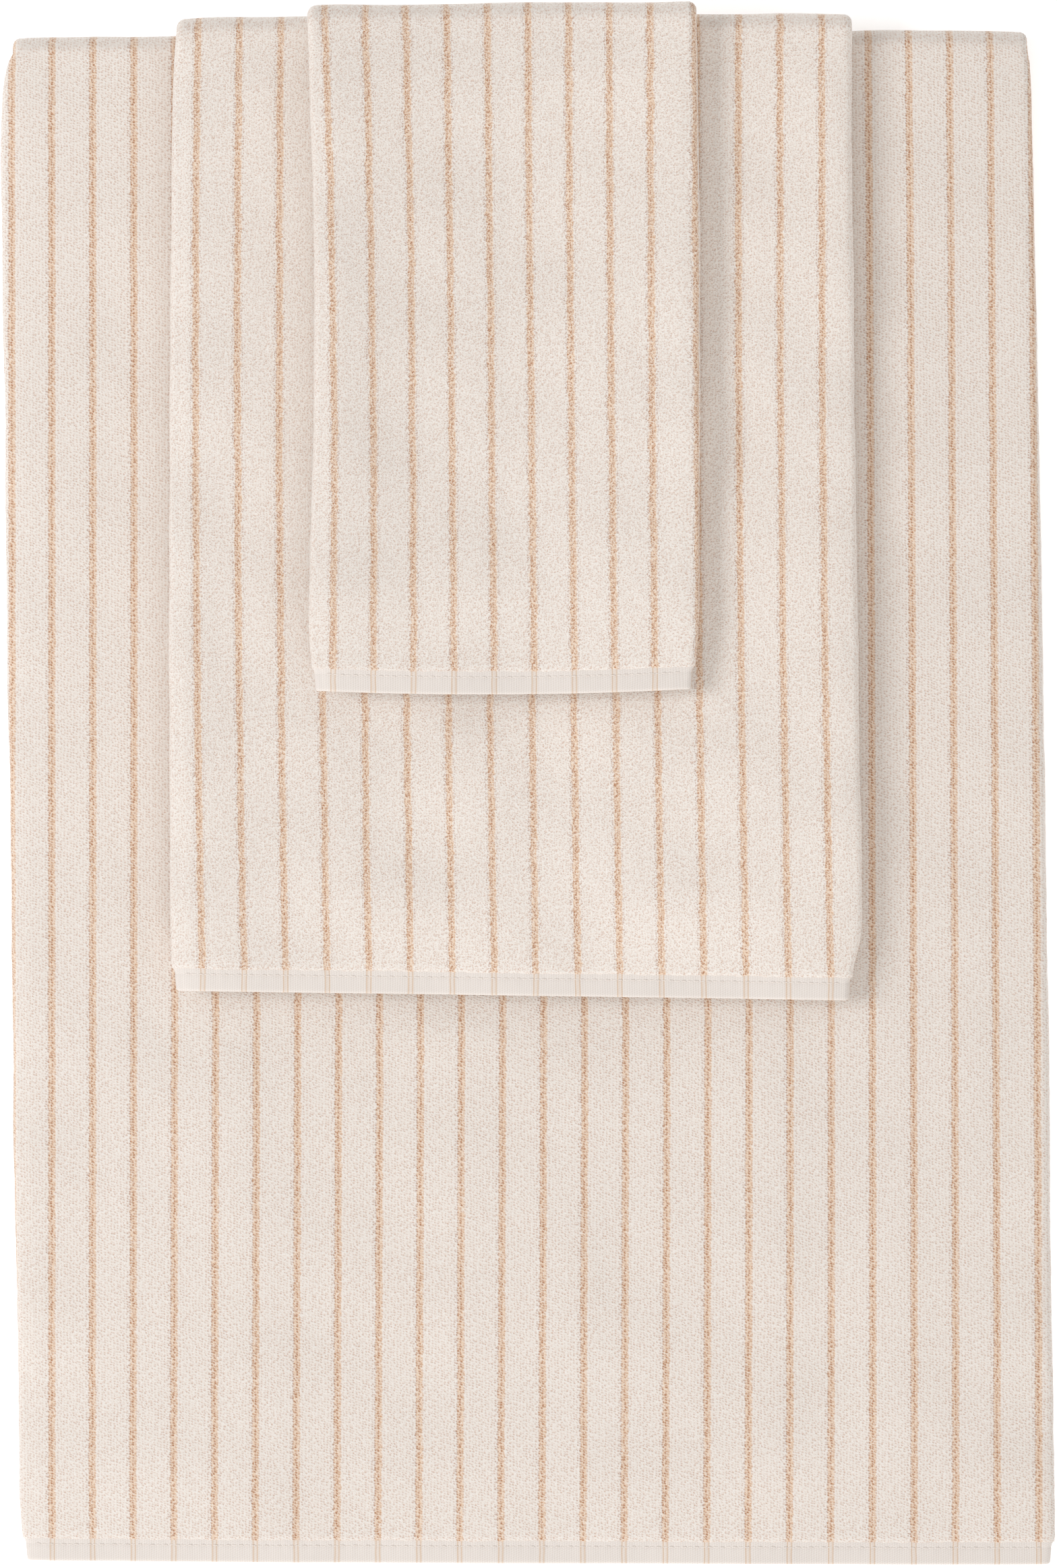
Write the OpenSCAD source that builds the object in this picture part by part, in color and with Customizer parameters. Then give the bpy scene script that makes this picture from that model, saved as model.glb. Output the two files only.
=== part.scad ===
// Bath towel set: three striped terry towels, bath, hand and guest, stacked flat.
// Each is folded in along both long sides and then over at the top, so a front leaf lies on a back leaf.
// Millimetres, +Z up. X runs across the towels and Y along them, with the top folds at +Y.
// The origin is at the middle of the set's footprint, on the surface that it lies on.

/* [Bath towel] */
// Width of the folded bath towel
bath_width = 472; // [440:1:500]
// Length of its front leaf, from the top fold to the hem's edge
bath_length = 698; // [650:1:740]
// Width of its cloth when flat
bath_cloth = 700; // [660:1:740]
// How far its back leaf stops short of the front leaf
bath_short = 8; // [0:1:40]

/* [Hand towel] */
// Width of the folded hand towel
hand_width = 310; // [290:1:330]
// Length of its front leaf, from the top fold to the hem's edge
hand_length = 444; // [400:1:480]
// Width of its cloth when flat
hand_cloth = 500; // [460:1:520]
// How far its back leaf stops short of the front leaf
hand_short = 6; // [0:1:40]
// How far its top fold reaches past the bath towel's
hand_past = 5.6; // [0:0.1:8]
// How far its middle lies to the side of the bath towel's
hand_shift = -5.7; // [-20:0.1:20]

/* [Guest towel] */
// Width of the folded guest towel
guest_width = 172; // [160:1:190]
// Length of its front leaf, from the top fold to the hem's edge
guest_length = 310; // [280:1:330]
// Width of its cloth when flat
guest_cloth = 300; // [280:1:320]
// How far its back leaf stops short of the front leaf
guest_short = 23; // [0:1:40]
// How far its top fold reaches past the hand towel's
guest_past = 3.1; // [0:0.1:8]
// How far its middle lies to the side of the bath towel's
guest_shift = -10.3; // [-20:0.1:20]

/* [Cloth] */
// Thickness of one layer of terry
ply = 4; // [3.6:0.1:4.6]
// Air between two layers of one leaf
ply_gap = 0.2; // [0.1:0.1:0.4]
// Air between a towel's two leaves
leaf_gap = 0.4; // [0.3:0.1:0.8]
// Air between two towels
towel_gap = 0.4; // [0.3:0.1:0.8]

/* [Hems] */
// Depth of the flat-woven hem at each end
hem_depth = 10.3; // [8:0.1:14]
// Thickness of the end hem, which is turned in twice
hem_thick = 2.2; // [1.6:0.1:2.6]
// Width of the narrow hem along each long side of the cloth
side_hem_width = 6; // [4:0.5:9]
// Thickness of the side hem
side_hem_thick = 2.4; // [1.6:0.1:2.8]
// Distance from the pile's edge to the row of stitches across an end hem
stitch_in = 2.6; // [1.5:0.1:4]
// Thickness of the sewing thread as it lies on the hem
thread = 0.5; // [0.3:0.1:0.8]

/* [Hidden] */
$fn = 64;

LEFT = -1;
RIGHT = 1;
FRONT = 1;
BACK = -1;
TERRY = [0.94, 0.90, 0.84];
HEM = [0.93, 0.88, 0.80];
THREAD = [0.86, 0.76, 0.66];

// A leaf is two layers thick, and a towel two leaves: fold_r is the radius of the top fold outside.
leaf = 2 * ply + ply_gap;
fold_r = leaf_gap / 2 + leaf;
towel_h = 2 * fold_r;
roll_r = leaf / 2;
roll_z = leaf_gap / 2 + roll_r;
roll_arc = PI * (ply + ply_gap) / 2;
flap_top = leaf_gap / 2 + ply;
face_z = flap_top + ply_gap;

// The guest towel's fold reaches furthest at +Y, and the bath towel's hem at -Y.
set_length = bath_length + hand_past + guest_past;
guest_top = set_length / 2;
hand_top = guest_top - guest_past;
bath_top = hand_top - hand_past;

// A towel is [width, front length, cloth width, back leaf's shortfall, middle's x, top fold's y, underside's z].
BATH = [bath_width, bath_length, bath_cloth, bath_short, 0, bath_top, 0];
HAND = [hand_width, hand_length, hand_cloth, hand_short, hand_shift, hand_top, towel_h + towel_gap];
GUEST = [guest_width, guest_length, guest_cloth, guest_short, guest_shift, guest_top, 2 * (towel_h + towel_gap)];

// Half the width of the flat part of a leaf, between its two side rolls.
function half(t) = t[0] / 2 - roll_r;
// Length of the pile from the middle of the top fold to the end hem.
function pile(t, side) = t[1] - fold_r - hem_depth - (side == BACK ? t[3] : 0);
// Where a flap ends, measured from the middle of the towel.
function flap_end(t) = half(t) - ((t[2] - 2 * half(t)) / 2 - roll_arc);

// Places a leaf that is drawn with its fold's middle at the origin, running to -Y, above z = 0.
module place(t, side) {
    translate([t[4], t[5] - fold_r, t[6] + fold_r])
        mirror([0, 0, side == BACK ? 1 : 0])
            children();
}

// Extrudes a drawing of Y across and Z up along X, from x0 to x1.
module along_x(x0, x1) {
    translate([x0, 0, 0])
        rotate([90, 0, 90])
            linear_extrude(x1 - x0)
                children();
}

// Extrudes a drawing of X across and Z up along Y, from y0 to y1.
module along_y(y0, y1) {
    translate([0, y1, 0])
        rotate([90, 0, 0])
            linear_extrude(y1 - y0)
                children();
}

// Outline of one layer that lies between heights z0 and z1 and bends down round the top fold.
module bent_layer(length, z0, z1) {
    union() {
        translate([-length, z0])
            square([length, z1 - z0]);
        intersection() {
            difference() {
                circle(z1);
                if (z0 > leaf_gap / 2)
                    circle(z0);
            }
            translate([0, leaf_gap / 2])
                square([z1, z1]);
        }
    }
}

// The layer that shows: the middle of the cloth, between the two side rolls.
module face(t, side) {
    color(TERRY)
        place(t, side)
            along_x(-half(t), half(t))
                bent_layer(pile(t, side), face_z, fold_r);
}

// Where the cloth turns over along a long side of the towel.
module roll(t, side, hand) {
    color(TERRY)
        place(t, side)
            mirror([hand == LEFT ? 1 : 0, 0, 0])
                intersection() {
                    along_x(half(t), half(t) + roll_r)
                        bent_layer(pile(t, side), leaf_gap / 2, fold_r);
                    along_y(-pile(t, side), fold_r)
                        translate([half(t), roll_z])
                            circle(roll_r);
                }
}

// The flap that is folded in under the face, from the roll to the side hem.
module flap(t, side, hand) {
    color(TERRY)
        place(t, side)
            mirror([hand == LEFT ? 1 : 0, 0, 0])
                along_x(flap_end(t) + side_hem_width, half(t))
                    bent_layer(pile(t, side), leaf_gap / 2, flap_top);
}

// The narrow hem along the flap's inner edge.
module side_hem(t, side, hand) {
    color(HEM)
        place(t, side)
            mirror([hand == LEFT ? 1 : 0, 0, 0])
                translate([flap_end(t), -pile(t, side), leaf_gap / 2 + (ply - side_hem_thick) / 2])
                    cube([side_hem_width, pile(t, side), side_hem_thick]);
}

// The flat-woven hem across the cloth's end, folded round with it at both sides.
module end_hem(t, side) {
    mid_r = (ply + ply_gap) / 2;
    color(HEM)
        place(t, side)
            along_y(-pile(t, side) - hem_depth, -pile(t, side))
                union() {
                    translate([-half(t), roll_z + mid_r - hem_thick / 2])
                        square([2 * half(t), hem_thick]);
                    for (hand = [LEFT, RIGHT])
                        mirror([hand == LEFT ? 1 : 0, 0])
                            union() {
                                translate([half(t), roll_z])
                                    intersection() {
                                        difference() {
                                            circle(mid_r + hem_thick / 2);
                                            circle(mid_r - hem_thick / 2);
                                        }
                                        translate([0, -roll_r])
                                            square([roll_r, 2 * roll_r]);
                                    }
                                translate([flap_end(t), roll_z - mid_r - hem_thick / 2])
                                    square([half(t) - flap_end(t), hem_thick]);
                            }
                }
}

// The row of stitches that holds the end hem down, as one thread on the hem's outer side.
module stitches(t, side) {
    hem_top = roll_z + (ply + ply_gap) / 2 + hem_thick / 2;
    color(THREAD)
        place(t, side)
            translate([-half(t), -pile(t, side) - stitch_in - thread / 2, hem_top])
                cube([2 * half(t), thread, thread]);
}

face(BATH, BACK);  // bath_back_face
roll(BATH, BACK, LEFT);  // bath_back_left_roll
roll(BATH, BACK, RIGHT);  // bath_back_right_roll
flap(BATH, BACK, LEFT);  // bath_back_left_flap
flap(BATH, BACK, RIGHT);  // bath_back_right_flap
side_hem(BATH, BACK, LEFT);  // bath_back_left_side_hem
side_hem(BATH, BACK, RIGHT);  // bath_back_right_side_hem
end_hem(BATH, BACK);  // bath_back_end_hem
stitches(BATH, BACK);  // bath_back_stitches
face(BATH, FRONT);  // bath_front_face
roll(BATH, FRONT, LEFT);  // bath_front_left_roll
roll(BATH, FRONT, RIGHT);  // bath_front_right_roll
flap(BATH, FRONT, LEFT);  // bath_front_left_flap
flap(BATH, FRONT, RIGHT);  // bath_front_right_flap
side_hem(BATH, FRONT, LEFT);  // bath_front_left_side_hem
side_hem(BATH, FRONT, RIGHT);  // bath_front_right_side_hem
end_hem(BATH, FRONT);  // bath_front_end_hem
stitches(BATH, FRONT);  // bath_front_stitches
face(HAND, BACK);  // hand_back_face
roll(HAND, BACK, LEFT);  // hand_back_left_roll
roll(HAND, BACK, RIGHT);  // hand_back_right_roll
flap(HAND, BACK, LEFT);  // hand_back_left_flap
flap(HAND, BACK, RIGHT);  // hand_back_right_flap
side_hem(HAND, BACK, LEFT);  // hand_back_left_side_hem
side_hem(HAND, BACK, RIGHT);  // hand_back_right_side_hem
end_hem(HAND, BACK);  // hand_back_end_hem
stitches(HAND, BACK);  // hand_back_stitches
face(HAND, FRONT);  // hand_front_face
roll(HAND, FRONT, LEFT);  // hand_front_left_roll
roll(HAND, FRONT, RIGHT);  // hand_front_right_roll
flap(HAND, FRONT, LEFT);  // hand_front_left_flap
flap(HAND, FRONT, RIGHT);  // hand_front_right_flap
side_hem(HAND, FRONT, LEFT);  // hand_front_left_side_hem
side_hem(HAND, FRONT, RIGHT);  // hand_front_right_side_hem
end_hem(HAND, FRONT);  // hand_front_end_hem
stitches(HAND, FRONT);  // hand_front_stitches
face(GUEST, BACK);  // guest_back_face
roll(GUEST, BACK, LEFT);  // guest_back_left_roll
roll(GUEST, BACK, RIGHT);  // guest_back_right_roll
flap(GUEST, BACK, LEFT);  // guest_back_left_flap
flap(GUEST, BACK, RIGHT);  // guest_back_right_flap
side_hem(GUEST, BACK, LEFT);  // guest_back_left_side_hem
side_hem(GUEST, BACK, RIGHT);  // guest_back_right_side_hem
end_hem(GUEST, BACK);  // guest_back_end_hem
stitches(GUEST, BACK);  // guest_back_stitches
face(GUEST, FRONT);  // guest_front_face
roll(GUEST, FRONT, LEFT);  // guest_front_left_roll
roll(GUEST, FRONT, RIGHT);  // guest_front_right_roll
flap(GUEST, FRONT, LEFT);  // guest_front_left_flap
flap(GUEST, FRONT, RIGHT);  // guest_front_right_flap
side_hem(GUEST, FRONT, LEFT);  // guest_front_left_side_hem
side_hem(GUEST, FRONT, RIGHT);  // guest_front_right_side_hem
end_hem(GUEST, FRONT);  // guest_front_end_hem
stitches(GUEST, FRONT);  // guest_front_stitches
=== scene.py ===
"""Looks of the bath towel set: three striped terry towels, folded in at their long sides and over at the top.

Metres, +Z up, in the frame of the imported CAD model: X runs across the towels, and the top folds are at +Y.
Each towel is one folded sheet of terry, with narrow side hems inside the fold, a flat-woven hem at each end,
and rows of stitches. Sizes and places come from the CAD boxes.
"""

import math

import bpy
import numpy as np
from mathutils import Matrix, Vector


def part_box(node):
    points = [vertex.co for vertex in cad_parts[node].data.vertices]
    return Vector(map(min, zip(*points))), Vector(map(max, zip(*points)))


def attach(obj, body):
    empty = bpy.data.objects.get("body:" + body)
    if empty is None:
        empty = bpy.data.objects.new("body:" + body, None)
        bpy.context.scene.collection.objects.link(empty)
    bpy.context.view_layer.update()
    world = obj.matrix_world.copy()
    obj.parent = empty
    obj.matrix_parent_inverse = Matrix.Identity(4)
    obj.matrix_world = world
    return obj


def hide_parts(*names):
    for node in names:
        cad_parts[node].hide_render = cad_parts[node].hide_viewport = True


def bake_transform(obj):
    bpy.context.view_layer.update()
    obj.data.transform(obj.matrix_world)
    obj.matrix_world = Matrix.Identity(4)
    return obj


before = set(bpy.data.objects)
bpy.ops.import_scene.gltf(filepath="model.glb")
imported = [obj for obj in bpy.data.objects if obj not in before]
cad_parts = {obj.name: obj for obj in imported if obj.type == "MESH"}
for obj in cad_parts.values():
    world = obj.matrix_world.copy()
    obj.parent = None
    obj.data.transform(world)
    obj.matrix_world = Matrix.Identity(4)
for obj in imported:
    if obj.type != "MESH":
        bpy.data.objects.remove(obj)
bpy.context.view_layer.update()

MM = 0.001

# One layer of terry. Its middle turns round a side roll at ROLL_R, and its two surfaces lie OUTER and INNER
# outward of its middle.
ROLL_R = 2.1 * MM
OUTER = 2.0 * MM
INNER = -1.7 * MM
CLOTH_PARTS = ("face", "left_roll", "right_roll", "left_flap", "right_flap")

# A towel's two leaves meet at a middle plane. A leaf's inner side lies about LEAF_GAP from it, and no point
# of the cloth is laid closer to it than FLAT_CLEAR.
LEAF_GAP = 0.2 * MM
FLAT_CLEAR = 0.4 * MM

# Hems: half the thickness of an end hem, the width of its ribs, and the length and place of its stitches.
HEM_HALF = 1.1 * MM
RIB = 1.1 * MM
STITCH = 2.9 * MM
STITCH_IN = 2.6 * MM

# How each towel lies and is woven. Lengths are in millimetres, and offsets are from the CAD outline, with +X
# right and +Y up.
#   left, right   the two long edges, at the top fold, halfway and at the hem
#   left_tucks, right_tucks   how far each long edge draws in at the top fold and at the hem
#   top, end      the top fold and the hem, at the left, the middle and the right
#   corner        how far the corners of the top fold are drawn down
#   sag           how deep the face dips between the two flaps
#   lump          the size of the face's slow unevenness
#   puff          how much higher the face stands along its left and its right edge
#   press         the share of the front leaf's height that is pressed out at its hem
#   grid          the mesh's steps across and along the front leaf
#   pitch, phase  the stripes' spacing, and the place of one of them
#   drift         how far the stripes lie right of an even spacing, at the left, the middle and the right of
#                 the top fold, of halfway down and of the hem
#   edge_drift    what is added to the drift close to the left and the right edge
#   columns, row  the columns of loops from one stripe to the next, and the spacing of the rows of loops
#   loose, wobble how freely the gaps between the loops lie, and how much the columns of loops wander
#   even          how strong the painted shade in the gaps right of a stripe is, as a share of that left of it
#   painted_shade_across  painted shade and light: how bright the pile is painted at the left edge, and from
#   PAINTED_SHADE_REACH right of it
#   flat          the flat cloth's size across and along, in metres
#   covered_by, rests_on   the towel on this one, and the piece under it
#   seed          where its random draws start
TOWELS = {
    "bath": {
        "left": (-4.0, 0.4, 5.2),
        "left_tucks": (5.8, 1.0),
        "right": (-6.1, 0.3, 4.7),
        "right_tucks": (1.7, -0.2),
        "top": (-1.6, -0.4, 1.5),
        "end": (1.6, 0.1, -0.2),
        "corner": 1.2,
        "sag": 1.6,
        "lump": 0.3,
        "puff": (0.8, 0.3),
        "press": 0.2,
        "grid": (2.4, 3.7),
        "pitch": 18.73,
        "phase": 7.96,
        "drift": ((1, -0.7, -3.3), (1, 0, -1), (1, -1, 0.5)),
        "edge_drift": (0.5, 0),
        "columns": 13,
        "row": 1.15,
        "loose": 0.5,
        "wobble": 0.4,
        "even": 0.2,
        "painted_shade_across": (0.985, 0.985),
        "flat": (0.70, 1.391),
        "covered_by": "hand",
        "rests_on": "floor",
        "seed": 11,
    },
    "hand": {
        "left": (1.0, -1.2, -0.1),
        "left_tucks": (1.0, 0.2),
        "right": (-2.6, -0.1, 3.2),
        "right_tucks": (-0.7, 4.4),
        "top": (-1.2, 0, 0.4),
        "end": (2.0, -0.1, -2.2),
        "corner": 0.3,
        "sag": 1.8,
        "lump": 0.6,
        "puff": (2.0, 1.4),
        "press": 0.28,
        "grid": (2.0, 3.0),
        "pitch": 18.84,
        "phase": 3.72,
        "drift": ((-1.3, -2, -2.2), (-2.2, -2, -1.5), (0.8, 0.5, 2)),
        "edge_drift": (0, 0),
        "columns": 16,
        "row": 1.0,
        "loose": 0.7,
        "wobble": 0.9,
        "even": 0.7,
        "painted_shade_across": (0.985, 1.03),
        "flat": (0.50, 0.886),
        "covered_by": "guest",
        "rests_on": "bath_cloth",
        "seed": 23,
    },
    "guest": {
        "left": (-2.4, 0.8, -3.1),
        "left_tucks": (-0.1, 2.2),
        "right": (0.8, 2.5, 1.7),
        "right_tucks": (0, 1.3),
        "top": (-1.3, -0.6, 0.6),
        "end": (0.2, -1.3, 1.0),
        "corner": 0.2,
        "sag": 1.2,
        "lump": 0.5,
        "puff": (2.0, 1.4),
        "press": 0.34,
        "grid": (1.8, 2.6),
        "pitch": 17.9,
        "phase": 3.1,
        "drift": ((-4.2, -2.7, -1.3), (0, -1.2, -0.5), (-0.5, 0.3, 0.7)),
        "edge_drift": (0, 2),
        "columns": 16,
        "row": 0.95,
        "loose": 0.75,
        "wobble": 1.0,
        "even": 0.9,
        "painted_shade_across": (0.965, 1.05),
        "flat": (0.30, 0.60),
        "covered_by": None,
        "rests_on": "hand_cloth",
        "seed": 37,
    },
}

# What each random part of a towel adds to the towel's seed.
SEEDS = {"lumps": 0, "left_edge": 1, "right_edge": 2, "brow": 3, "pile": 7, "ribs": 13, "stitches": 17}


def colour(red, green, blue):
    """A colour from 0 to 255 on a screen, as the shader's linear values."""
    def linear(value):
        value = value / 255
        return value / 12.92 if value <= 0.04045 else ((value + 0.055) / 1.055) ** 2.4
    return (linear(red), linear(green), linear(blue), 1.0)


# ---------------------------------------------------------------- camera, light and floor

CAMERA_PLACE = (0.9 * MM, 1.8 * MM, 2.4)
LENS_MM = 120.3
SENSOR_MM = 36
FLOOR_SIZE = 60
FLOOR_Z = -0.4 * MM


def make_camera():
    """Looks straight down on the set."""
    data = bpy.data.cameras.new("camera")
    data.lens = LENS_MM
    data.sensor_width = SENSOR_MM
    camera = bpy.data.objects.new("camera", data)
    camera.location = CAMERA_PLACE
    bpy.context.scene.collection.objects.link(camera)
    bpy.context.scene.camera = camera


def area_light(name, place, size, power, tint):
    """A square soft light that faces the middle of the set."""
    data = bpy.data.lights.new(name, "AREA")
    data.shape = "SQUARE"
    data.size = size
    data.energy = power
    data.color = tint
    light = bpy.data.objects.new(name, data)
    light.location = place
    direction = -light.location
    light.rotation_euler = direction.to_track_quat("-Z", "Y").to_euler()
    light.visible_camera = False
    bpy.context.scene.collection.objects.link(light)


def make_light():
    """A soft key light from the left, a wide far one from beyond the hems and an even pale surround."""
    area_light("key_light", (-2.3, 0.13, 2.3), 1.3, 43.5, (0.985, 0.995, 1.02))
    area_light("fill_light", (1.0, -6.8, 3.0), 3.2, 240, (1.0, 1.0, 1.0))
    world = bpy.data.worlds.new("surround")
    world.use_nodes = True
    surround = world.node_tree.nodes["Background"]
    surround.inputs["Color"].default_value = (1, 0.99, 0.98, 1)
    surround.inputs["Strength"].default_value = 0.625
    bpy.context.scene.world = world
    bpy.context.scene.view_settings.view_transform = "Standard"


def make_floor():
    """A plain white floor just under the set."""
    bpy.ops.mesh.primitive_plane_add(size=FLOOR_SIZE, location=(0, 0, FLOOR_Z))
    floor = bpy.context.object
    floor.name = "floor"
    material = bpy.data.materials.new("floor")
    material.use_nodes = True
    shader = material.node_tree.nodes["Principled BSDF"]
    shader.inputs["Base Color"].default_value = (0.9, 0.9, 0.9, 1)
    shader.inputs["Roughness"].default_value = 0.9
    shader.inputs["Specular IOR Level"].default_value = 0.1
    shader.inputs["Emission Color"].default_value = (1, 1, 1, 1)
    shader.inputs["Emission Strength"].default_value = 0.35
    floor.data.materials.append(material)


# ---------------------------------------------------------------- node helpers

class Nodes:
    """Short calls for building one material's nodes. Across and along are metres over the cloth."""

    def __init__(self, name):
        self.material = bpy.data.materials.new(name)
        self.material.use_nodes = True
        self.tree = self.material.node_tree
        self.shader = self.tree.nodes["Principled BSDF"]
        uv = self.tree.nodes.new("ShaderNodeUVMap")
        uv.uv_map = "cloth"
        split = self.tree.nodes.new("ShaderNodeSeparateXYZ")
        self.tree.links.new(uv.outputs[0], split.inputs[0])
        self.across = split.outputs[0]
        self.along = split.outputs[1]

    def put(self, value, socket):
        """Links a node's output to the socket, or sets the socket to a constant."""
        if isinstance(value, bpy.types.NodeSocket):
            self.tree.links.new(value, socket)
        else:
            socket.default_value = value

    def math(self, operation, *values):
        node = self.tree.nodes.new("ShaderNodeMath")
        node.operation = operation
        for value, socket in zip(values, node.inputs):
            self.put(value, socket)
        return node.outputs[0]

    def add(self, total, *values):
        for value in values:
            total = self.math("ADD", total, value)
        return total

    def less(self, a, b):
        return self.math("SUBTRACT", a, b)

    def times(self, a, b):
        return self.math("MULTIPLY", a, b)

    def step(self, value, low, high):
        """0 below low, 1 above high and smooth between them."""
        node = self.tree.nodes.new("ShaderNodeMapRange")
        node.interpolation_type = "SMOOTHSTEP"
        for name, part in (("Value", value), ("From Min", low), ("From Max", high)):
            self.put(part, node.inputs[name])
        return node.outputs["Result"]

    def near(self, value, place, wide, narrow):
        """1 within narrow of the place, 0 beyond wide and smooth between them."""
        return self.step(self.math("ABSOLUTE", self.less(value, place)), wide, narrow)

    def mix(self, share, a, b, blend="MIX"):
        node = self.tree.nodes.new("ShaderNodeMix")
        node.data_type = "RGBA"
        node.blend_type = blend
        for socket, value in zip((node.inputs[0], node.inputs[6], node.inputs[7]), (share, a, b)):
            self.put(value, socket)
        return node.outputs[2]

    def toned(self, base, tone):
        """The colour with its brightness multiplied by tone."""
        grey = self.tree.nodes.new("ShaderNodeCombineColor")
        for socket in grey.inputs[:3]:
            self.put(tone, socket)
        return self.mix(1.0, base, grey.outputs[0], "MULTIPLY")

    def point(self, x, y):
        node = self.tree.nodes.new("ShaderNodeCombineXYZ")
        self.put(x, node.inputs[0])
        self.put(y, node.inputs[1])
        return node.outputs[0]

    def noise(self, across_rate, along_rate, detail=2.0):
        """Noise from 0 to 1, with about this many waves to a metre across and along the cloth."""
        node = self.tree.nodes.new("ShaderNodeTexNoise")
        node.noise_dimensions = "2D"
        node.inputs["Scale"].default_value = 1.0
        node.inputs["Detail"].default_value = detail
        place = self.point(self.times(self.across, across_rate), self.times(self.along, along_rate))
        self.put(place, node.inputs["Vector"])
        return node.outputs["Fac"]

    def even_noise(self, across_rate, along_rate, detail=2.0):
        """Noise from -0.5 to 0.5."""
        return self.less(self.noise(across_rate, along_rate, detail), 0.5)

    def from_stripe(self, place, pitch):
        """How far a place lies right of the nearest stripe's middle."""
        past = self.math("FLOORED_MODULO", self.add(place, pitch / 2), pitch)
        return self.less(past, pitch / 2)

    def bump(self, height, distance, strength):
        node = self.tree.nodes.new("ShaderNodeBump")
        node.inputs["Distance"].default_value = distance
        node.inputs["Strength"].default_value = strength
        self.put(height, node.inputs["Height"])
        self.tree.links.new(node.outputs[0], self.shader.inputs["Normal"])

    def finish(self, base, roughness, sheen, sheen_roughness):
        """Colour and roughness from nodes; the constant sockets of a soft cotton."""
        self.put(base, self.shader.inputs["Base Color"])
        self.put(roughness, self.shader.inputs["Roughness"])
        self.shader.inputs["Specular IOR Level"].default_value = 0.15
        self.shader.inputs["Sheen Weight"].default_value = sheen
        self.shader.inputs["Sheen Roughness"].default_value = sheen_roughness
        self.shader.inputs["Sheen Tint"].default_value = SHEEN_TINT
        return self.material


# ---------------------------------------------------------------- materials

# A painted highlight on the tops of the loops.
CURL_HIGHLIGHT = colour(243, 241, 237)
CREAM = colour(231, 222, 213)
# Painted shade in the gaps between the loops, in the cream and in the stripes' tan.
CREAM_GAP_SHADE = colour(212, 183, 166)
# Painted shade in the valleys beside the stripes.
STRIPE_VALLEY_SHADE = colour(184, 152, 136)
TAN = colour(229, 203, 178)
TAN_SOFT_GAP_SHADE = colour(208, 166, 134)
# Painted shade, deepest on a stripe's left side.
TAN_DEEP_GAP_SHADE = colour(180, 129, 96)
HEM_PALE = colour(230, 222, 215)
# Painted shade in the grooves of the hem's ribs and of the thread's twist.
HEM_GROOVE_SHADE = colour(220, 208, 199)
HEM_TAN = colour(225, 205, 186)
HEM_LINE = colour(214, 188, 164)
THREAD = colour(242, 235, 228)
SHEEN_TINT = (1.0, 0.97, 0.93, 1.0)

# How far the gaps slip along the cloth from one column of loops to the next, as a share of a row.
ROW_SKEW = 0.4
# Painted shade and light across the pile: it is painted at one brightness at the left edge, and at another
# from this far right of it.
PAINTED_SHADE_REACH = 0.2


def loop_gaps(n, facts, moved, ruffle, lean):
    """The distance to the nearest gap between loops, in columns and rows, and that gap's random share."""
    wobble = facts["wobble"] * MM
    column = facts["pitch"] * MM / facts["columns"]
    leaning = n.add(moved, n.times(lean, wobble))
    # A gap lies up to loose past each whole number of columns and rows, so half of that centres it.
    x = n.add(n.math("DIVIDE", leaning, column), facts["loose"] / 2)
    slipped = n.add(n.times(ruffle, 0.8 * wobble), n.times(lean, wobble))
    y = n.math("DIVIDE", n.add(n.along, slipped), facts["row"] * MM)
    y = n.add(y, n.times(x, ROW_SKEW))
    gaps = n.tree.nodes.new("ShaderNodeTexVoronoi")
    gaps.voronoi_dimensions = "2D"
    gaps.inputs["Scale"].default_value = 1.0
    gaps.inputs["Randomness"].default_value = facts["loose"]
    n.put(n.point(x, y), gaps.inputs["Vector"])
    lots = n.tree.nodes.new("ShaderNodeSeparateColor")
    n.put(gaps.outputs["Color"], lots.inputs[0])
    return gaps.outputs["Distance"], lots.outputs[1]


def stripe_masks(n, facts, from_stripe, strands):
    """How tan the pile is, how far it is on a stripe's shaded side, and how strong the painted shade in the
    gaps beside it is.
    """
    ragged = n.add(n.math("ABSOLUTE", from_stripe), n.times(n.less(strands, 0.5), 1.6 * MM))
    stripe = n.step(ragged, 2.1 * MM, 0.9 * MM)
    # Painted shade: a stripe's gaps are darker on its left side, and the gaps in the valleys along its edges
    # are darker too.
    shaded_side = n.step(from_stripe, 1.2 * MM, 0.2 * MM)
    left_edge = n.near(from_stripe, -2.0 * MM, 1.1 * MM, 0.3 * MM)
    right_edge = n.near(from_stripe, 2.0 * MM, 1.1 * MM, 0.3 * MM)
    beside = n.math("MAXIMUM", left_edge, n.times(right_edge, facts["even"]))
    return stripe, shaded_side, beside


def pile_tone(n, towel, strands):
    """The pile's brightness: slow patches, single strands, and painted shade and light that change across the
    towel.
    """
    tone = n.add(0.94, n.times(n.noise(22.0, 16.0), 0.05), n.times(strands, 0.04))
    # Painted shade and light across the towel, from the left edge's brightness to the right one's.
    left = towel.x - towel.half
    towards = n.step(n.across, left, left + PAINTED_SHADE_REACH)
    left_shade, right_shade = towel.facts["painted_shade_across"]
    painted_shade_across = n.add(left_shade, n.times(towards, right_shade - left_shade))
    return n.times(tone, painted_shade_across)


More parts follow.
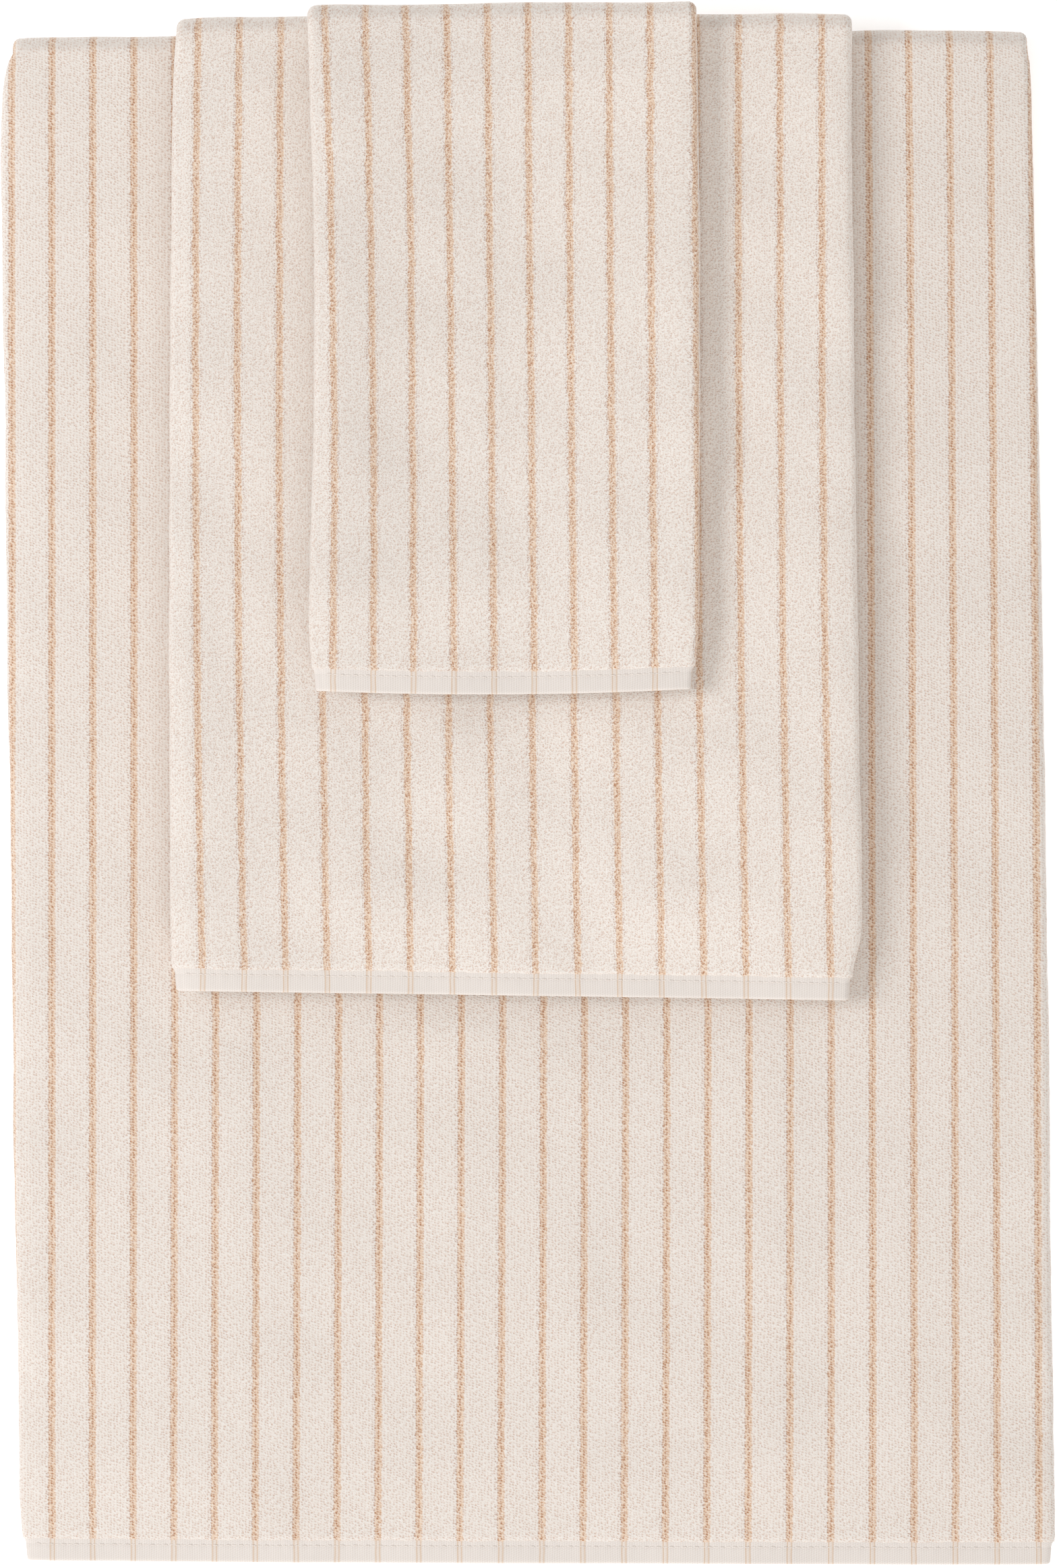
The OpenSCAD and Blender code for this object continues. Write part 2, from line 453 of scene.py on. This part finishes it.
def terry_material(towel):
    """Loops in columns along the cloth, with painted shade in the small gaps between them, and soft tan
    stripes.
    """
    facts = towel.facts
    n = Nodes(towel.name + "_terry")
    pitch = facts["pitch"] * MM
    wobble = facts["wobble"]
    wander = n.even_noise(50.0, 90.0)
    ruffle = n.even_noise(450.0, 450.0, 1.0)
    lean = n.even_noise(1100.0, 900.0, 1.0)
    strands = n.noise(900.0, 500.0)
    yarn = n.noise(2400.0, 1800.0)
    moved = n.add(n.across, n.times(wander, 1.4 * wobble * MM), n.times(ruffle, 0.7 * wobble * MM))
    moved = n.less(moved, facts["phase"] * MM)
    distance, lot = loop_gaps(n, facts, moved, ruffle, lean)
    stripe, shaded_side, beside = stripe_masks(n, facts, n.from_stripe(moved, pitch), strands)
    # The loops themselves show as thin pale curls that wind between the gaps, painted paler as a highlight
    # where they catch the light.
    curl_highlight = n.near(lean, 0.0, 0.09, 0.0)
    # A gap's painted shade is as dark as its random share, darker at a stripe and paler where a curl crosses
    # it.
    strong = n.math("MAXIMUM", stripe, beside)
    depth = n.add(0.33, n.times(lot, 0.65), n.times(strong, 0.3))
    depth = n.times(depth, n.less(1.0, n.times(curl_highlight, 0.45)))
    wide = n.add(0.52, n.times(stripe, 0.12))
    # gap is the share of painted shade between the loops; the bump and the roughness use it too.
    gap = n.times(n.step(distance, wide, 0.05), depth)
    tips = n.mix(n.times(curl_highlight, 0.5), n.mix(stripe, CREAM, TAN), CURL_HIGHLIGHT)
    # Painted shade in the gaps: pinkish in the cream, darker in the valleys beside a stripe, tan in a stripe
    # and darkest on its left side.
    pale_pit_shade = n.mix(n.times(beside, 0.6), CREAM_GAP_SHADE, STRIPE_VALLEY_SHADE)
    tan_pit_shade = n.mix(shaded_side, TAN_SOFT_GAP_SHADE, TAN_DEEP_GAP_SHADE)
    base = n.mix(gap, tips, n.mix(stripe, pale_pit_shade, tan_pit_shade))
    base = n.toned(base, pile_tone(n, towel, strands))
    height = n.less(n.times(yarn, 0.4), gap)
    height = n.add(height, n.times(ruffle, 0.8 * wobble))
    height = n.less(height, n.times(stripe, 0.3))
    n.bump(height, 0.5 * MM, 0.38)
    return n.finish(base, n.add(0.86, n.times(gap, 0.1)), 0.6, 0.45)


def hem_material(towel):
    """Flat weave with fine ribs along the cloth, painted shade in the grooves between them, and each stripe
    as a pair of thin faint lines.
    """
    facts = towel.facts
    n = Nodes(towel.name + "_hem_weave")
    twist_pitch = 0.8 * MM
    moved = n.add(n.across, n.times(n.even_noise(60.0, 120.0), 0.5 * MM))
    ribs = n.math("SINE", n.times(moved, 2 * math.pi / RIB))
    slant = n.add(n.times(n.along, 2 * math.pi / twist_pitch), n.times(moved, math.pi / RIB))
    weave = n.add(n.times(ribs, 0.6), n.times(n.math("SINE", slant), 0.4))
    groove = n.step(weave, 0.3, -0.9)
    from_stripe = n.from_stripe(n.less(moved, facts["phase"] * MM), facts["pitch"] * MM)
    from_stripe = n.math("ABSOLUTE", from_stripe)
    band = n.step(from_stripe, 1.4 * MM, 0.9 * MM)
    line = n.near(from_stripe, 0.95 * MM, 0.5 * MM, 0.1 * MM)
    # Painted shade in the grooves between the ribs.
    base = n.mix(n.times(groove, 0.6), HEM_PALE, HEM_GROOVE_SHADE)
    base = n.mix(n.times(band, 0.3), base, HEM_TAN)
    base = n.mix(n.times(line, 0.75), base, HEM_LINE)
    base = n.toned(base, n.add(0.96, n.times(n.noise(60.0, 60.0), 0.05)))
    n.bump(weave, 0.1 * MM, 0.5)
    return n.finish(base, n.add(0.82, n.times(groove, 0.1)), 0.2, 0.4)


def thread_material():
    """Sewing thread with a fine twist, with painted shade in the twist's grooves."""
    n = Nodes("sewing_thread")
    twist_rate = 9000.0
    slant = n.add(n.times(n.across, twist_rate), n.times(n.along, twist_rate))
    twist = n.math("SINE", slant)
    # Painted shade in the grooves of the twist.
    base = n.mix(n.step(twist, -1.0, 1.0), THREAD, HEM_GROOVE_SHADE)
    n.bump(twist, 0.05 * MM, 0.5)
    return n.finish(base, n.add(0.6, n.times(twist, 0.05)), 0.15, 0.4)


# ---------------------------------------------------------------- how a towel is folded

# The reach of the tucks at the two ends of a long edge, of the puff and the round shoulder along it, and of
# the drift that is added there.
TOP_TUCK_REACH = 10 * MM
END_TUCK_REACH = 14 * MM
PUFF_REACH = 45 * MM
SHOULDER_REACH = 4 * MM
EDGE_DRIFT_REACH = 6 * MM
# How much more than the puff the left shoulder comes down, in millimetres.
LEFT_SHOULDER = 0.5
# A long edge wanders by EDGE_WANDER. Past the pile, the hem draws in by NECK over NECK_REACH, and steadily by
# HEM_TAPER of its depth.
EDGE_WANDER = 0.15 * MM
NECK = 0.6 * MM
NECK_REACH = 1.5 * MM
HEM_TAPER = 0.09
# The top fold wanders by BROW. The face starts to dip over FRONT_REACH from the top fold.
BROW = 0.2 * MM
FRONT_REACH = 30 * MM
# How far the weave runs round a side roll, as a share of the way round its middle.
ROLL_STRETCH = 1.75


def through(values, share):
    """A smooth line through three values in millimetres, at share 0, a half and 1."""
    first, middle, last = (value * MM for value in values)
    ends = first * (1 - 2 * share) * (1 - share) + last * share * (2 * share - 1)
    return ends + 4 * middle * share * (1 - share)


def smooth(value, low, high):
    """0 at low, 1 at high and smooth between them."""
    share = np.clip((value - low) / (high - low), 0, 1)
    return share * share * (3 - 2 * share)


class Wave:
    """Smooth noise of about -1 to 1: a few waves with random directions and starts."""

    def __init__(self, seed, shortest, longest, count=14):
        random = np.random.default_rng(seed)
        length = random.uniform(shortest, longest, count)
        angle = random.uniform(0, 2 * math.pi, count)
        self.x = 2 * math.pi * np.cos(angle) / length
        self.y = 2 * math.pi * np.sin(angle) / length
        self.start = random.uniform(0, 2 * math.pi, count)
        self.scale = 1.7 / math.sqrt(count)

    def at(self, x, y=0.0):
        x, y = np.broadcast_arrays(x, y)
        total = sum(np.sin(a * x + b * y + c) for a, b, c in zip(self.x, self.y, self.start))
        return total * self.scale


class Towel:
    """The sizes of one towel from its CAD boxes, and the map from its cloth to where that lies.

    A point of the cloth is q metres across from the middle and p metres along from the top fold, with the
    front leaf at -p. Out is how far it lies outward of the middle of the cloth's thickness."""

    def __init__(self, name):
        self.name = name
        self.facts = TOWELS[name]
        front_low, front_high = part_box(name + "_front_face")
        back_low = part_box(name + "_back_face")[0]
        hem_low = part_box(name + "_front_end_hem")[0]
        side_low, side_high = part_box(name + "_front_left_side_hem")
        self.x = (front_low.x + front_high.x) / 2
        self.half = (front_high.x - front_low.x) / 2
        # The middle plane between the leaves, and the top fold's outer radius and axis.
        self.mid = (front_high.z + back_low.z) / 2
        self.fold_r = front_high.z - self.mid
        self.fold_y = front_high.y - self.fold_r
        self.front_pile = self.fold_y - front_low.y
        self.back_pile = self.fold_y - back_low.y
        self.hem_depth = front_low.y - hem_low.y
        self.side_hem = side_high.x - side_low.x
        # How far from the middle plane a side roll's axis and the face's cloth lie.
        self.roll_z = LEAF_GAP + (self.fold_r - LEAF_GAP) / 2
        self.face_r = self.roll_z + ROLL_R
        # The cloth that goes round a side roll, round half of the top fold, and into a flap up to its hem.
        self.roll = math.pi * ROLL_R
        self.fold = math.pi / 2 * self.face_r
        self.flap_in = self.x - side_high.x
        self.flap = self.half - self.flap_in - self.side_hem
        self.lumps = Wave(self.seed("lumps"), 45 * MM, 160 * MM)
        self.edges = {word: Wave(self.seed(word + "_edge"), 40 * MM, 200 * MM) for word in ("left", "right")}
        self.brow = Wave(self.seed("brow"), 30 * MM, 110 * MM)

    def seed(self, part):
        return self.facts["seed"] + SEEDS[part]

    def openness(self, x, y):
        """1 in the open and 0 where a towel lies on this one."""
        cover = self.facts["covered_by"]
        if cover is None:
            return 1.0
        side_margin, end_margin, reach = 6 * MM, 1 * MM, 22 * MM
        low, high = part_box(cover + "_front_face")
        hem_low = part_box(cover + "_front_end_hem")[0]
        beside = np.maximum(low.x - side_margin - x, x - high.x - side_margin)
        return smooth(np.maximum(beside, hem_low.y - end_margin - y), 0, reach)

    def edge(self, word, p, down, pile):
        """X of the left or the right long edge, at p along the cloth and down from the top fold."""
        side = -1 if word == "left" else 1
        offset = through(self.facts[word], np.clip(down / pile, 0, 1))
        wander = self.edges[word].at(p) * EDGE_WANDER
        top_tuck, end_tuck = self.facts[word + "_tucks"]
        to_end = np.clip(pile - down, 0, None)
        past = np.clip(down - pile, 0, None)
        tuck = top_tuck * MM * np.exp(-down / TOP_TUCK_REACH)
        tuck = tuck + end_tuck * MM * np.exp(-(to_end / END_TUCK_REACH) ** 2)
        neck = NECK * smooth(past, 0, NECK_REACH) + HEM_TAPER * past
        return self.x + side * self.half + offset + wander - side * (tuck + neck)

    def relief(self, q, p, turn, x, y):
        """How much higher than level the front leaf's face lies.

        It dips between the two flaps, is a little uneven, and stands higher along its long edges, where it
        rounds off. Under another towel it only dips."""
        front = smooth(-p, self.fold, self.fold + FRONT_REACH) * (turn < math.pi / 2)
        bare = self.openness(x, y) * np.cos(np.minimum(turn, math.pi / 2))
        dip = self.facts["sag"] * MM * smooth(self.flap_in - 4 * MM - np.abs(x - self.x), 0, 50 * MM)
        lump = self.facts["lump"] * MM * self.lumps.at(x, y)
        inward = np.clip(self.half - np.abs(q), 0, None)
        left_puff, right_puff = self.facts["puff"]
        puff = np.where(q < 0, left_puff, right_puff) * MM
        shoulder = np.where(q < 0, left_puff + LEFT_SHOULDER, right_puff) * MM
        edge = puff * np.exp(-inward / PUFF_REACH) - shoulder * np.exp(-inward / SHOULDER_REACH)
        return front * ((lump + edge) * bare - dip)

    def end_shift(self, x, left, right, width_share, run, down):
        """How far up the cloth lies. Its ends aren't square; its top fold wanders and has tucked corners."""
        top = through(self.facts["top"], width_share)
        end = through(self.facts["end"], width_share)
        skew = top * (1 - run) + end * run
        nearest = np.minimum(np.abs(x - left), np.abs(x - right))
        corner = self.facts["corner"] * MM * np.exp(-nearest / (9 * MM)) * np.exp(-down / (20 * MM))
        brow = BROW * self.brow.at(x) * np.exp(-down / (30 * MM))
        return skew + brow - corner

    def drift(self, q, width_share, run):
        """How far the stripes lie right of an even spacing."""
        top, middle, end = (through(row, width_share) for row in self.facts["drift"])
        left_drift, right_drift = self.facts["edge_drift"]
        inward = np.clip(self.half - np.abs(q), 0, None)
        at_edge = np.where(q < 0, left_drift, right_drift) * MM * np.exp(-inward / EDGE_DRIFT_REACH)
        return through((top / MM, middle / MM, end / MM), run) + at_edge

    def lay(self, q, p, out):
        """Where the cloth lies, for arrays of q, p and out: the points, and metres across for the weave."""
        q, p, out = np.broadcast_arrays(q, p, out)
        side = np.where(q < 0, -1.0, 1.0)
        # How far it has turned round a side roll, lies under the face, and lies down from the top fold.
        turn = np.clip((np.abs(q) - self.half) / ROLL_R, 0, math.pi)
        under = np.clip(np.abs(q) - self.half - self.roll, 0, None)
        down = np.clip(np.abs(p) - self.fold, 0, None)
        bend = np.clip(math.pi / 2 + p / self.face_r, 0, math.pi)
        pile = np.where(p < 0, self.front_pile, self.back_pile)
        run = np.clip(down / pile, 0, 1)
        left = self.edge("left", p, down, pile)
        right = self.edge("right", p, down, pile)
        share = np.clip(q / self.half, -1, 1)
        reach = (ROLL_R + out) * np.sin(turn) - under
        x = (left + right) / 2 + share * (right - left) / 2 + side * reach
        y = self.fold_y - down
        height = self.roll_z + (ROLL_R + out) * np.cos(turn) + self.relief(q, p, turn, x, y)
        # The front leaf's end is pressed flatter, because the hems are thinner than the pile.
        pressed = 1 - self.facts["press"] * smooth(down, pile - 40 * MM, pile + 4 * MM) * (p < 0)
        height = np.maximum(height * pressed, FLAT_CLEAR)
        width_share = np.clip((x - left) / (right - left), 0, 1)
        y = y + height * np.sin(bend) + self.end_shift(x, left, right, width_share, run, down)
        z = self.mid + height * np.cos(bend)
        # The weave runs straight over the face, then round the roll's outside and along the flap.
        end = np.where(q < 0, left, right)
        woven = np.where(turn > 0, end + side * (ROLL_STRETCH * ROLL_R * turn + under), x)
        return np.stack([x, y, z], -1), woven - self.drift(q, width_share, run)

    def ends(self):
        """How far along the cloth the pile ends on the front leaf and on the back leaf."""
        return self.fold + self.front_pile, self.fold + self.back_pile


# ---------------------------------------------------------------- meshes

def mesh_object(name, points, faces, material, metres):
    """A mesh from arrays, with smooth shading and the weave's metres as its UV map."""
    mesh = bpy.data.meshes.new(name)
    mesh.from_pydata(points.tolist(), [], faces)
    mesh.polygons.foreach_set("use_smooth", np.ones(len(mesh.polygons), bool))
    layer = mesh.uv_layers.new(name="cloth")
    corner = np.empty(len(mesh.loops), np.int32)
    mesh.loops.foreach_get("vertex_index", corner)
    layer.data.foreach_set("uv", metres[corner].astype(np.float32).ravel())
    mesh.materials.append(material)
    mesh.update()
    thing = bpy.data.objects.new(name, mesh)
    bpy.context.scene.collection.objects.link(thing)
    return thing


def grid_faces(index, flip):
    """Quads between neighbours of a 2D array of vertex numbers."""
    a, b, c, d = index[:-1, :-1], index[1:, :-1], index[1:, 1:], index[:-1, 1:]
    quads = np.stack([a, b, c, d] if not flip else [d, c, b, a], -1)
    return quads.reshape(-1, 4).tolist()


def rim_faces(fine, coarse, flip):
    """Joins a line of vertices to one with half as many: a triangle and a quad for each coarse step."""
    faces = []
    for i in range(len(coarse) - 1):
        a, b, c = fine[2 * i], fine[2 * i + 1], fine[2 * i + 2]
        low, high = coarse[i], coarse[i + 1]
        faces += [[a, b, low], [b, c, high, low]]
    return [face[::-1] for face in faces] if flip else faces


def sheet_mesh(name, towel, across, along, outer, inner, material, ragged=None):
    """A closed sheet over a grid of the cloth. Its inner side, which nothing shows, has half as many steps.

    Ragged is how far past its even ends the sheet reaches at each step across."""
    q, p = np.meshgrid(across, along, indexing="ij")
    if ragged is not None:
        tip = 2 * MM
        at_back = smooth(p, along[-1] - tip, along[-1])
        at_front = smooth(-p, -along[0] - tip, -along[0])
        p = p + ragged[:, None] * (at_back - at_front)
    top, top_across = towel.lay(q, p, outer)
    bottom, bottom_across = towel.lay(q[::2, ::2], p[::2, ::2], inner[::2, ::2])
    rows, columns = q.shape
    fine = np.arange(rows * columns).reshape(rows, columns)
    coarse = fine.size + np.arange(bottom.shape[0] * bottom.shape[1]).reshape(bottom.shape[:2])
    points = np.concatenate([top.reshape(-1, 3), bottom.reshape(-1, 3)])
    metres = np.concatenate([
        np.stack([top_across, p], -1).reshape(-1, 2),
        np.stack([bottom_across, p[::2, ::2]], -1).reshape(-1, 2)])
    faces = grid_faces(fine, False) + grid_faces(coarse, True)
    faces += rim_faces(fine[0], coarse[0], False) + rim_faces(fine[-1], coarse[-1], True)
    faces += rim_faces(fine[:, 0], coarse[:, 0], True) + rim_faces(fine[:, -1], coarse[:, -1], False)
    return mesh_object(name, points, faces, material, metres)


def even_steps(start, end, step):
    """Values from start to end with an even number of steps of about the given size."""
    count = max(2, 2 * round(abs(end - start) / step / 2))
    return np.linspace(start, end, count + 1)


def joined(*runs):
    """Runs of values one after another, each starting where the last ended."""
    return np.concatenate([runs[0]] + [run[1:] for run in runs[1:]])


def across_steps(towel, step, roll_step, flap, flap_step):
    """Values of q from flap to flap, with a step size each for the face, the rolls and the flaps."""
    half, roll = towel.half, towel.roll
    round_roll = even_steps(half, half + roll, roll_step)
    under_face = even_steps(half + roll, half + roll + flap, flap_step)
    out = joined(round_roll, under_face)
    return joined(-out[::-1], even_steps(-half, half, step), out)


def fold_steps(towel):
    """Values of p round the top fold, closest at its middle, where it bends when the towel opens."""
    angle = np.radians([0, 0.5, 1, 1.5, 2.2, 3.2, 4.5, 6, 9, 13, 18, 24, 31, 39, 48, 58, 68, 79, 90])
    out = angle / (math.pi / 2) * towel.fold
    return joined(-out[::-1], out)


def rounded(distance, reach, least):
    """Share of the thickness that is left this far from an edge that rounds off over reach."""
    share = np.clip(1 - distance / reach, 0, 1)
    return least + (1 - least) * np.sqrt(np.clip(1 - share * share, 0, 1))


def bend_with_fold(piece):
    """Bakes the piece's placement into its mesh, where it runs round the top fold."""
    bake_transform(piece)


# ---------------------------------------------------------------- pieces

def cloth_piece(towel, material):
    """The terry: the face, the side rolls and the flaps of both leaves as one closed sheet."""
    flap_step = 8 * MM
    step_x, step_y = (value * MM for value in towel.facts["grid"])
    across = across_steps(towel, step_x, towel.roll / 10, towel.flap, flap_step)
    # The pile rounds off over the last few millimetres before each hem.
    tip = np.array([0.0, 0.15, 0.4, 0.8, 1.4, 2.2, 3.2]) * MM
    front, back = towel.ends()
    front_run = joined(-front + tip, even_steps(-front + tip[-1], -towel.fold, step_y))
    back_run = joined(even_steps(towel.fold, back - tip[-1], 2 * step_y), back - tip[::-1])
    along = joined(front_run, fold_steps(towel), back_run)
    q, p = np.meshgrid(across, along, indexing="ij")
    thick = rounded(np.minimum(front + p, back - p), tip[-1], 0.64)
    # The pile's surface is a little rough, except under the flaps and at the top fold's middle.
    random = np.random.default_rng(towel.seed("pile"))
    rough = random.normal(0, 0.09 * MM, q.shape).clip(-0.2 * MM, 0.14 * MM)
    ragged = random.uniform(-0.35 * MM, 0.35 * MM, len(across))
    turn = np.clip((np.abs(q) - towel.half) / ROLL_R, 0, math.pi)
    rough = rough * smooth(math.pi * 0.75 - turn, 0, 0.5) * smooth(np.abs(p), 1.0 * MM, 3.0 * MM)
    outer = (OUTER - 0.1 * MM * (1 - np.cos(turn))) * thick + rough
    piece = sheet_mesh(towel.name + "_cloth", towel, across, along, outer, INNER * thick, material, ragged)
    nodes = [f"{towel.name}_{leaf}_{part}" for leaf in ("back", "front") for part in CLOTH_PARTS]
    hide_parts(*nodes)
    bend_with_fold(piece)
    return piece


def side_hem_piece(towel, side, material):
    """The narrow hem along a flap's inner edge, round the top fold."""
    word = "left" if side < 0 else "right"
    start = towel.half + towel.roll + towel.flap
    across = side * even_steps(start, start + towel.side_hem, 0.75 * MM)
    if side < 0:
        across = across[::-1]
    front, back = towel.ends()
    front_run = even_steps(-front, -towel.fold, 8 * MM)
    back_run = even_steps(towel.fold, back, 8 * MM)
    along = joined(front_run, fold_steps(towel), back_run)
    q, p = np.meshgrid(across, along, indexing="ij")
    edge = rounded(start + towel.side_hem - np.abs(q), 1.2 * MM, 0.25)
    puckers = 1 + 0.06 * np.sin(2 * math.pi * p / (9 * MM))
    half = 1.2 * MM * edge * puckers
    piece = sheet_mesh(f"{towel.name}_side_hem_{word}", towel, across, along, half, -half, material)
    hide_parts(*[f"{towel.name}_{leaf}_{word}_side_hem" for leaf in ("back", "front")])
    bend_with_fold(piece)
    return piece


def leaf_line(towel, leaf, past):
    """p at a distance past the pile's end of a leaf."""
    front, back = towel.ends()
    return -(front + past) if leaf == "front" else back + past


def end_hem_piece(towel, leaf, material):
    """The flat-woven hem across a leaf's end, with real ribs, pressed in at its row of stitches."""
    depth = towel.hem_depth
    flap_step = 6 * MM
    across = across_steps(towel, RIB / 2, RIB / 2, towel.flap + towel.side_hem, flap_step)
    # It starts a little inside the pile, is fine at its stitches and rounds off at its edge.
    start = np.array([-1.2, -0.8, -0.4, 0.4, 1.2, 2.0, 2.35, 2.6, 2.85, 3.2, 4.2, 5.6, 7.0, 8.4]) * MM
    tip = depth - np.array([1.1, 0.7, 0.35, 0.1, 0.0]) * MM
    along = leaf_line(towel, leaf, np.concatenate([start, tip]))
    if leaf == "front":
        along = along[::-1]
    q, p = np.meshgrid(across, along, indexing="ij")
    beyond = np.abs(p) - abs(leaf_line(towel, leaf, 0))
    from_stitches = beyond - STITCH_IN
    ribs = np.where(np.arange(len(across)) % 2 == 0, 1.0, -1.0)[:, None] * 0.07 * MM
    random = np.random.default_rng(towel.seed("ribs"))
    ribs = ribs * random.uniform(0.6, 1.3, (len(across), 1))
    groove = 0.12 * MM * np.exp(-(from_stitches / (0.45 * MM)) ** 2)
    pucker = 0.12 * MM * np.sin(math.pi * q / STITCH + 0.7) * np.exp(-np.abs(from_stitches) / (2.5 * MM))
    thick = rounded(depth - beyond, 1.2 * MM, 0.2)
    outer = (HEM_HALF + ribs - groove + pucker) * thick
    piece = sheet_mesh(f"{towel.name}_{leaf}_hem", towel, across, along, outer, -HEM_HALF * thick, material)
    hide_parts(f"{towel.name}_{leaf}_end_hem")
    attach(piece, f"{towel.name}_{leaf}_leaf")
    return piece


# A thread's radius, the sides of its tube, how thin its ends are, and a direction that no thread runs along.
THREAD_R = 0.2 * MM
THREAD_SIDES = 6
THREAD_TIP = 0.45
NEARLY_UP = (0.13, 0.21, 0.97)


def thread_mesh(name, paths, weave, material):
    """Thin closed tubes along short paths of points, as one mesh, with each path's metres of weave."""
    points, faces, metres = [], [], []
    ring = np.linspace(0, 2 * math.pi, THREAD_SIDES, endpoint=False)
    for path, path_metres in zip(paths, weave):
        ahead = np.gradient(path, axis=0)
        ahead /= np.linalg.norm(ahead, axis=1, keepdims=True)
        side = np.cross(ahead, NEARLY_UP)
        side /= np.linalg.norm(side, axis=1, keepdims=True)
        up = np.cross(side, ahead)
        radius = np.full(len(path), THREAD_R)
        radius[[0, -1]] *= THREAD_TIP
        rings = path[:, None] + radius[:, None, None] * (
            np.cos(ring)[None, :, None] * side[:, None] + np.sin(ring)[None, :, None] * up[:, None])
        number = sum(len(part) for part in points) + np.arange(len(path) * THREAD_SIDES)
        number = number.reshape(len(path), THREAD_SIDES)
        faces += grid_faces(np.concatenate([number, number[:, :1]], axis=1), False)
        faces += [number[0].tolist(), number[-1][::-1].tolist()]
        points.append(rings.reshape(-1, 3))
        metres.append(np.repeat(path_metres, THREAD_SIDES, axis=0))
    return mesh_object(name, np.concatenate(points), faces, material, np.concatenate(metres))


def stitch_piece(towel, leaf, material):
    """A row of lockstitches across the end hem, each a short thread that dips into the cloth at both ends."""
    side_margin = 1 * MM
    count = int(2 * (towel.half - side_margin) / STITCH)
    random = np.random.default_rng(towel.seed("stitches"))
    share = np.linspace(-0.42, 0.42, 7)
    # It rises from the hem's surface in its middle and sinks below it at its ends.
    lift = 0.16 * MM * (np.cos(share * math.pi) - 1) - 0.02 * MM
    paths, weave = [], []
    for i in range(count):
        middle = (i - (count - 1) / 2) * STITCH
        p = leaf_line(towel, leaf, STITCH_IN + random.normal(0, 0.06 * MM))
        path, across = towel.lay(middle + share * STITCH, p, HEM_HALF + lift)
        paths.append(path)
        weave.append(np.stack([across, np.full_like(across, p)], -1))
    piece = thread_mesh(f"{towel.name}_{leaf}_stitching", paths, weave, material)
    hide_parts(f"{towel.name}_{leaf}_stitches")
    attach(piece, f"{towel.name}_{leaf}_leaf")
    return piece


def make_towel(name, thread):
    """All the pieces of one towel."""
    towel = Towel(name)
    terry = terry_material(towel)
    weave = hem_material(towel)
    cloth = cloth_piece(towel, terry)
    others = [side_hem_piece(towel, side, weave) for side in (-1, 1)]
    for leaf in ("back", "front"):
        others.append(end_hem_piece(towel, leaf, weave))
        others.append(stitch_piece(towel, leaf, thread))


make_camera()
make_light()
make_floor()
sewing_thread = thread_material()
for towel_name in TOWELS:
    make_towel(towel_name, sewing_thread)
